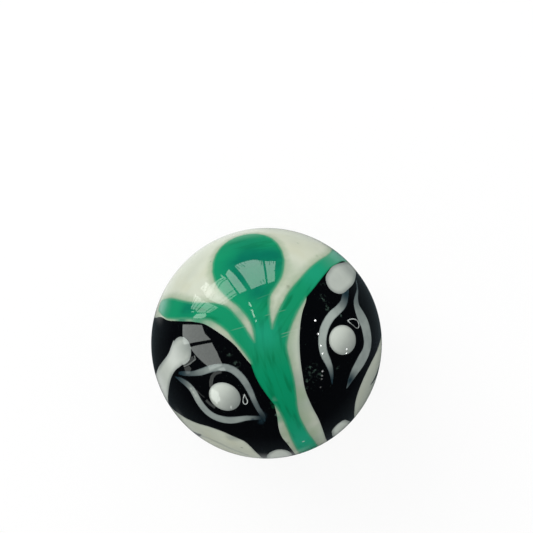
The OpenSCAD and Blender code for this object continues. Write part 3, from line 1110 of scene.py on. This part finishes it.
class MARBLE_OT_green_figure(Operator):
    """Lay the green stem with its head and two arms"""

    bl_idname = "marble.green_figure"
    bl_label = "Green figure"

    def execute(self, context):
        green = ["green_figure"]
        marks = {
            "to_white": (green, ["opal_ball"]),
            "to_black": (green, [*BLACK, "upper_drop"]),
        }
        lay_glass("green_figure", green_glass(), marks)
        return {"FINISHED"}


class MARBLE_OT_black_fields(Operator):
    """Lay the black fields of both eyes and of the back"""

    bl_idname = "marble.black_fields"
    bl_label = "Black fields"

    def execute(self, context):
        material = black_glass()
        for name in BLACK:
            lay_glass(name, material, {})
        return {"FINISHED"}


class MARBLE_OT_trails(Operator):
    """Lay the thin white trails round both eyes"""

    bl_idname = "marble.trails"
    bl_label = "White trails"

    def execute(self, context):
        for name in TRAILS:
            lay_glass(name, trail_glass(name), own_edge(name))
        return {"FINISHED"}


class MARBLE_OT_dots_and_drops(Operator):
    """Lay the dots of both eyes, the comma and the drops"""

    bl_idname = "marble.dots_and_drops"
    bl_label = "Dots and drops"

    def execute(self, context):
        for names, glass_of in ((DROPS, white_glass), (DOTS, dot_glass)):
            for name in names:
                lay_glass(name, glass_of(name), own_edge(name))
        return {"FINISHED"}


# Section of a bubble's ring: shares of half its width, and heights over the ball in millimetres.
RING_PROFILE = ((-1, -0.03), (-0.5, 0.012), (0.5, 0.012), (1, -0.03))


def bubble_ring(places, width):
    """Thin closed ring along an outline on the ball, a hair proud of its surface."""
    points = np.array([tuple(place(*where)) for where in [*places, places[0]]])
    line = smooth_run(points, 0.1 * MM / RADIUS, True)[:-1]
    corners = []
    for before, here, after in zip(np.roll(line, 1, axis=0), line, np.roll(line, -1, axis=0)):
        side = np.cross(here, after - before)
        side *= width / 2 / RADIUS / np.linalg.norm(side)
        for share, reach in RING_PROFILE:
            corners.append((here + side * share) * (RADIUS + reach * MM))
    faces = []
    for k in range(len(line)):
        a = 4 * k
        b = 4 * ((k + 1) % len(line))
        faces.extend((a + i, b + i, b + (i + 1) % 4, a + (i + 1) % 4) for i in range(4))
    mesh = new_mesh("bubble", corners, faces)
    mesh.polygons.foreach_set("use_smooth", [True] * len(faces))
    return mesh


class MARBLE_OT_bubbles(Operator):
    """Draw the outlines of the bubbles under the surface, painted bright as reflections"""

    bl_idname = "marble.bubbles"
    bl_label = "Bubbles"

    def execute(self, context):
        for name, (places, _) in BUBBLES.items():
            mesh = bubble_ring(places, settings().skin.bubble_line)
            new_piece(name, mesh, painted_bubble_glint(name))
        return {"FINISHED"}


# ---------------------------------------------------------------- stage


def band(width, *path):
    """Outline of an even band along a path of places on the ball."""
    left = []
    right = []
    for i, (east, north) in enumerate(path):
        before = path[max(i - 1, 0)]
        after = path[min(i + 1, len(path) - 1)]
        half = width / 2 / math.dist(before, after)
        side = ((before[1] - after[1]) * half, (after[0] - before[0]) * half)
        left.append((east + side[0], north + side[1]))
        right.append((east - side[0], north - side[1]))
    return left + right[::-1]


# Window panes, at the places on the ball where they are mirrored, and the share of the
# daylight that each lets through.
PANES = {
    "tall_pane": (1.0, [
        [(-16.6, 40.2), (-13.7, 42.1), (-6.3, 43.7), (-2.1, 42.6), (-0.3, 29.2), (-7.3, 26.1), (-12.5, 34.7)],
        [(-0.9, 42.5), (4.7, 42.6), (4.3, 37), (3.7, 36.5), (4.3, 36), (4, 30.5), (0.7, 29.2)],
    ]),
    "thin_pane": (1.05, [
        [(-19.7, 38.5), (-21.1, 35.5), (-16.7, 29), (-13, 24.1), (-9.6, 25.6), (-15.6, 34.2)],
    ]),
    "curtain": (0.95, [[
        (-24.3, 36), (-21.2, 33.8), (-19.7, 32.2), (-18, 29.4), (-16, 26.6), (-14.2, 23.8), (-16.3, 22.2),
        (-21.6, 18.4), (-23.4, 19.2), (-28.2, 21.8), (-30.3, 23.3), (-32, 25.2), (-33.6, 27.6), (-36.2, 30.6),
        (-33, 31), (-31.7, 32.2), (-30.2, 31), (-28.8, 29.8), (-26.4, 31.6), (-22.9, 33.7), (-23.6, 34.8),
    ]]),
    "blind": (1.0, [[
        (-37.4, 26.8), (-36.6, 24.6), (-35.3, 24.2), (-33.2, 22.5), (-31.3, 21.6), (-29.7, 20.5),
        (-25.4, 18.4), (-23.6, 17.4), (-28, 15), (-31, 15.3), (-35, 15.6), (-36.3, 17),
        (-39.3, 17.9), (-38.8, 22),
    ]]),
    "sill": (1.2, [
        [(-35.4, 14.9), (-30.2, 14.9), (-29.7, 13.9), (-30.3, 13), (-33, 12.4), (-37.5, 12.7), (-37, 13.6)],
        band(0.5, (-38.6, 16.4), (-37.4, 16.1)),
    ]),
    "side_pane": (1.0, [
        [(-44, 9.8), (-32, 9), (-30.3, 4.8), (-27, 1.8), (-33, 0.9), (-43, -0.8)],
        [(-39, -2), (-26.4, 0.3), (-23.8, -4.2), (-21.2, -9.8), (-28.5, -11.5), (-35.5, -6)],
    ]),
    "gleams": (0.9, [
        [(-28.5, -11.7), (-21.8, -10.1), (-21.5, -10.8), (-28, -13.4)],
        [(-24, -12.6), (-20.3, -11.2), (-19.4, -13), (-22, -13.5)],
    ]),
    "bow": (0.35, [band(1.5, (-21.8, -13.7), (-25, -14.6), (-26.8, -16.6), (-27.5, -19), (-27.7, -22))]),
    "bow_edges": (0.5, [
        band(0.4, (-22, -13.1), (-25.4, -14), (-27.4, -16.4), (-28.2, -19), (-28.4, -22)),
        band(0.3, (-22.2, -14.4), (-24.6, -15.2), (-26.1, -17), (-26.8, -19.4), (-27, -21.6)),
    ]),
    "loop": (0.9, [
        band(0.8, (-36.4, -6.3), (-35.8, -8), (-39.6, -10.6), (-43.6, -12.3), (-45.2, -11.4)),
        band(0.5, (-37.6, -6.8), (-38.4, -7.8), (-41.6, -9.6), (-44, -10.4)),
    ]),
    "loop_shade": (0.3, [
        [(-37.6, -7), (-36, -7.8), (-39.8, -10.6), (-43.4, -12), (-44.4, -11), (-40, -8.6)],
        [(-44.6, -13.6), (-40, -11.6), (-38.6, -13), (-40, -16), (-43, -16.6)],
    ]),
    "dim_quads": (0.25, [
        band(1.6, (-31.4, -29.6), (-29.4, -31.6), (-26.6, -33.4)),
        band(0.4, (-36, -25), (-34.2, -26.8), (-32.2, -28)),
    ]),
    "trail_bands": (0.45, [
        band(0.6, (-40.2, -21.6), (-38.8, -23.6)),
        band(0.4, (-38.6, -22.8), (-37.6, -24.8)),
        band(0.5, (-36.6, -24.4), (-35.8, -27)),
    ]),
    "dot_strip": (1.1, [
        [(-27.7, -22), (-24.2, -24), (-22.9, -28.6), (-25.5, -31), (-28.3, -27.2)],
        band(0.9, (-17.6, -31.4), (-17.9, -33)),
    ]),
    "dashes": (1.8, [
        band(0.75, (-8.4, 19.4), (-7.3, 17.4)),
        band(0.75, (-7, 15.9), (-5.6, 12.1)),
        band(0.8, (-5.1, 10.9), (-4.7, 10.1)),
    ]),
}

# Folds, slats and twigs that cross the panes, at the places where they are mirrored.
CREASES = (
    band(0.5, (-21.6, 32.9), (-24.7, 31.6), (-25.7, 29.7), (-26.6, 26.9), (-27.6, 24.7), (-29.3, 22.4)),
    band(0.6, (-20, 32.7), (-22, 31.5), (-23.5, 29.9), (-24.5, 27.3), (-26.1, 24.7), (-27.2, 22.6)),
    band(0.6, (-29.2, 30.4), (-30.6, 28.2), (-31.3, 26), (-31.8, 24)),
    band(0.5, (-32.2, 31.6), (-33, 28.5), (-33, 26.6)),
    band(0.4, (-15.9, 26.4), (-18.3, 24.7), (-20.3, 23.1), (-23.3, 20.7)),
    band(0.5, (-14.2, 24.5), (-18.2, 22), (-21, 20), (-23.2, 18.7)),
    band(0.5, (-36.3, 24.7), (-38.3, 21.2), (-39.6, 18.7)),
    band(0.45, (-34.6, 23.6), (-38.7, 17.9)),
    band(0.45, (-32.4, 22.2), (-37.2, 17)),
    band(0.6, (-30.4, 21), (-35.3, 16.4)),
    band(0.4, (-26, 18.2), (-30.2, 15.7)),
    band(0.4, (-25, 17.5), (-28.3, 15.2)),
    band(0.35, (-16.6, 41), (-13.6, 38)),
    band(0.25, (-15.4, 41.6), (-12.6, 39.4)),
    band(0.3, (-14.2, 42.4), (-11, 39.2)),
    band(0.2, (-12.4, 43), (-10.6, 41)),
    band(0.25, (-3.8, 43.6), (-3.4, 41.8)),
    band(0.3, (-2.7, 43.2), (-2.6, 39.8)),
    band(0.2, (0.3, 43), (0.2, 41.4)),
    band(0.3, (1.4, 43), (1.6, 40.2)),
    band(0.2, (2.4, 43), (2.4, 41.6)),
    band(0.3, (3.6, 43), (3.6, 40.8)),
    band(0.3, (-1.9, 31.6), (-1, 29.8)),
    band(0.3, (-3, 30.6), (-2.4, 29.2)),
)

# Small ceiling lamps, at the places where they are mirrored, with their share of the glow.
LAMPS = (
    ((23.5, 11), 1.6), ((25, 4.5), 1.1), ((26.3, -1), 1.0), ((27, -5), 0.8),
    ((41.4, -3), 0.5), ((41.2, -5.1), 0.6),
    ((27.5, -13.8), 0.3), ((27.4, -16), 0.15), ((27.3, -17.7), 0.08), ((27, -22), 0.06),
)


ROOM_REACH = 0.5  # from the ball's surface to the window and the lamps
CREASE_GAP = 0.02  # from the creases to the panes behind them
LAMP_SIZE = 0.45  # degrees on the ball, from the middle of a lamp's image to its corners
CARD_REACH = 0.9  # from the middle of the ball to the dome and to the rim of the table card
CARD_TURNS = 48  # stretches round the dome and the table card


def mirrored(where, height):
    """Start and direction of the line along which a place on the ball mirrors the room."""
    normal = place(*where)
    start = normal * RADIUS
    seen = (Vector((0, 0, height)) - start).normalized()
    return start, 2 * normal.dot(seen) * normal - seen


def emission(name, strength, tone):
    """Light of an even colour."""
    material, shader = new_glass(name)
    shader.show(shader.light((*tone, 1), strength))
    return material


def daylight(name, strength, tone):
    """Light of a window pane that isn't quite clean."""
    material, shader = new_glass(name)
    dust = (0.4, 0.42, 0.41)
    dusty = shader.noise(shader.position(), 14, 4).above(0.35, 0.7)
    shader.show(shader.light(shader.mix(dusty * 0.22, tone, dust), strength))
    return material


def hang(name, corners, faces, material):
    """Hangs something in the room that is seen in the glass alone."""
    mesh = new_mesh(name, corners, faces)
    mesh.materials.append(material)
    thing = new_object(name, mesh)
    thing.visible_camera = False
    thing.visible_diffuse = False
    thing.visible_transmission = False
    thing.visible_shadow = False


def hang_shapes(name, shapes, height, reach, material):
    """Hangs flat shapes where the ball mirrors them at the given places."""
    corners = []
    faces = []
    for shape in shapes:
        faces.append(range(len(corners), len(corners) + len(shape)))
        for where in shape:
            start, direction = mirrored(where, height)
            corners.append(start + direction * reach)
    hang(name, corners, faces, material)


def hang_panes(stage):
    """Window panes round the ball, with the creases in front of them."""
    for name, (share, shapes) in PANES.items():
        glow = daylight(name, stage.window_glow * share, stage.daylight)
        hang_shapes(name, shapes, stage.camera_height, ROOM_REACH, glow)
    dark = emission("creases", 1, stage.room_card)
    hang_shapes("creases", CREASES, stage.camera_height, ROOM_REACH - CREASE_GAP, dark)


def hang_lamps(height, glow):
    """Small round lamps under the ceiling."""
    for number, ((east, north), share) in enumerate(LAMPS):
        turns = [math.radians(turn) for turn in range(0, 360, 45)]
        rim = [(math.cos(turn) * LAMP_SIZE, math.sin(turn) * LAMP_SIZE) for turn in turns]
        lines = [mirrored((east + across, north + up), height) for across, up in rim]
        corners = [start + direction * ROOM_REACH for start, direction in lines]
        name = f"lamp_{number + 1}"
        hang(name, corners, [range(len(corners))], emission(name, glow * share, (1, 1, 1)))


def turned(profile, turns):
    """Corners and faces of a profile of reaches and heights, turned round the upright axis."""
    corners = []
    for k in range(turns):
        turn = 2 * math.pi * k / turns
        corners.extend((math.cos(turn) * out, math.sin(turn) * out, up) for out, up in profile)
    rows = len(profile)
    faces = []
    for k in range(turns):
        here = k * rows
        there = (k + 1) % turns * rows
        faces.extend((here + i, there + i, there + i + 1, here + i + 1) for i in range(rows - 1))
    return corners, faces


def hang_cards(stage):
    """Dark dome, and a ring just over the floor that is dark with two pale patches."""
    low = CAD_BOX[0].z + 0.05 * MM
    hole = 1e-5
    tilts = [math.radians(tilt) for tilt in range(0, 91, 10)]
    dome = [(CARD_REACH * math.cos(tilt) + hole, low + CARD_REACH * math.sin(tilt)) for tilt in tilts]
    hang("room_card", *turned(dome, CARD_TURNS), emission("room_card", 1, stage.room_card))
    material, shader = new_glass("table_card")
    point = shader.position()
    out = shader.vector("LENGTH", point, output="Value")
    north = shader.along(point, (0, 1, 0)) + shader.along(point, (1, 0, 0)) * 0.2
    tone = shader.mix(out.below(30, 110), stage.room_card, stage.table_card)
    tone = shader.mix(north.below(-12, -2) * 0.35, tone, stage.room_card)
    window_side = shader.along(point, (-0.34, 0.94, 0)) - out * 0.42
    westward = shader.along(point, (1, 0, 0)).below(-6, 2) * 0.55 + 0.45
    window_side = window_side.above(0, 6) * out.below(30, 54) * westward
    tone = shader.mix(window_side, tone, stage.north_card)
    near_side = shader.along(point, (-0.26, -0.97, 0)) - out * 0.66
    near_side = near_side.above(0, 2.5) * out.below(32, 42)
    tone = shader.mix(near_side * 0.3, tone, stage.north_card)
    shader.show(shader.light(tone))
    ring = [(2 * MM, low), (0.05, low), (CARD_REACH, low)]
    hang("table_card", *turned(ring, CARD_TURNS), material)


def seen_share(shader):
    """1 for what the camera sees, also in and through the glass, and 0 for the light given."""
    path = "ShaderNodeLightPath"
    seen = shader.node(path, output="Is Camera Ray") + shader.node(path, output="Is Glossy Ray")
    return seen + shader.node(path, output="Is Transmission Ray")


# Share of even light in the floor where it is seen; the rest is matte and takes the shadow.
FLOOR_GLOW = 0.85


def set_floor(stage):
    """White floor that keeps a faint shadow of the marble."""
    reach = 3
    low = CAD_BOX[0].z
    corners = [(-reach, -reach, low), (reach, -reach, low), (reach, reach, low), (-reach, reach, low)]
    mesh = new_mesh("floor", corners, [(0, 1, 2, 3)])
    material, shader = new_glass("floor")
    seen = seen_share(shader)
    tone = shader.mix(seen, stage.floor_bounce, stage.white)
    matte = shader.node("ShaderNodeBsdfDiffuse", None, {"Color": tone})
    bright = shader.light((*stage.white, 1))
    glow = seen * FLOOR_GLOW
    shader.show(shader.node("ShaderNodeMixShader", None, {0: glow, 1: matte, 2: bright}))
    mesh.materials.append(material)
    new_object("floor", mesh)


def set_room(stage):
    """Even light from all round, white where it is seen."""
    world = bpy.data.worlds.new("room")
    bpy.context.scene.world = world
    shader = Shader(world)
    tone = shader.mix(seen_share(shader), stage.room_light, stage.white)
    shader.show(shader.node("ShaderNodeBackground", None, {"Color": tone}))


def soft_box(name, direction, reach, size, power):
    """Square soft lamp that faces the ball and isn't mirrored in it."""
    data = bpy.data.lights.new(name, "AREA")
    data.size = size
    data.energy = power
    lamp = new_object(name, data)
    lamp.location = Vector(direction).normalized() * reach
    lamp.rotation_euler = Vector(direction).to_track_quat("Z", "Y").to_euler()
    lamp.visible_camera = False
    lamp.visible_glossy = False


def set_camera(stage):
    """Camera straight above the decorated face."""
    data = bpy.data.cameras.new("camera")
    half_angle = math.asin(RADIUS / stage.camera_height)
    data.lens = data.sensor_width / 2 * stage.disc_share / math.tan(half_angle)
    data.shift_y = stage.disc_drop
    camera = new_object("camera", data)
    camera.location = (0, 0, stage.camera_height)
    bpy.context.scene.camera = camera


class MARBLE_OT_stage(Operator):
    """Set the floor, the light and the camera"""

    bl_idname = "marble.stage"
    bl_label = "Stage"

    def execute(self, context):
        stage = settings().stage
        set_floor(stage)
        set_room(stage)
        hang_panes(stage)
        hang_lamps(stage.camera_height, stage.lamp_glow)
        hang_cards(stage)
        soft_box("window_side", (-0.6, 0.7, 0.7), 0.6, 0.4, stage.key_power)
        soft_box("window_low", (0.2, 1, 0.2), 0.6, 0.4, stage.low_power)
        set_camera(stage)
        context.scene.view_settings.view_transform = "Standard"
        return {"FINISHED"}


# ---------------------------------------------------------------- add-on

STEPS = (
    MARBLE_OT_stage,
    MARBLE_OT_opal_ball,
    MARBLE_OT_green_figure,
    MARBLE_OT_black_fields,
    MARBLE_OT_trails,
    MARBLE_OT_dots_and_drops,
    MARBLE_OT_bubbles,
)


class MARBLE_PT_panel(Panel):
    """The steps that dress the marble"""

    bl_label = "Marble"
    bl_idname = "MARBLE_PT_panel"
    bl_space_type = "VIEW_3D"
    bl_region_type = "UI"
    bl_category = "Marble"

    def draw(self, context):
        for step in STEPS:
            self.layout.operator(step.bl_idname)


CLASSES = (MarbleSkin, MarbleGlass, MarbleStage, MarbleSettings, *STEPS, MARBLE_PT_panel)


def register():
    for item in CLASSES:
        bpy.utils.register_class(item)
    bpy.types.Scene.marble = PointerProperty(type=MarbleSettings)


def unregister():
    del bpy.types.Scene.marble
    for item in reversed(CLASSES):
        bpy.utils.unregister_class(item)


def main():
    register()
    for step in STEPS:
        getattr(bpy.ops.marble, step.bl_idname.split(".")[1])()


if __name__ == "__main__":
    main()
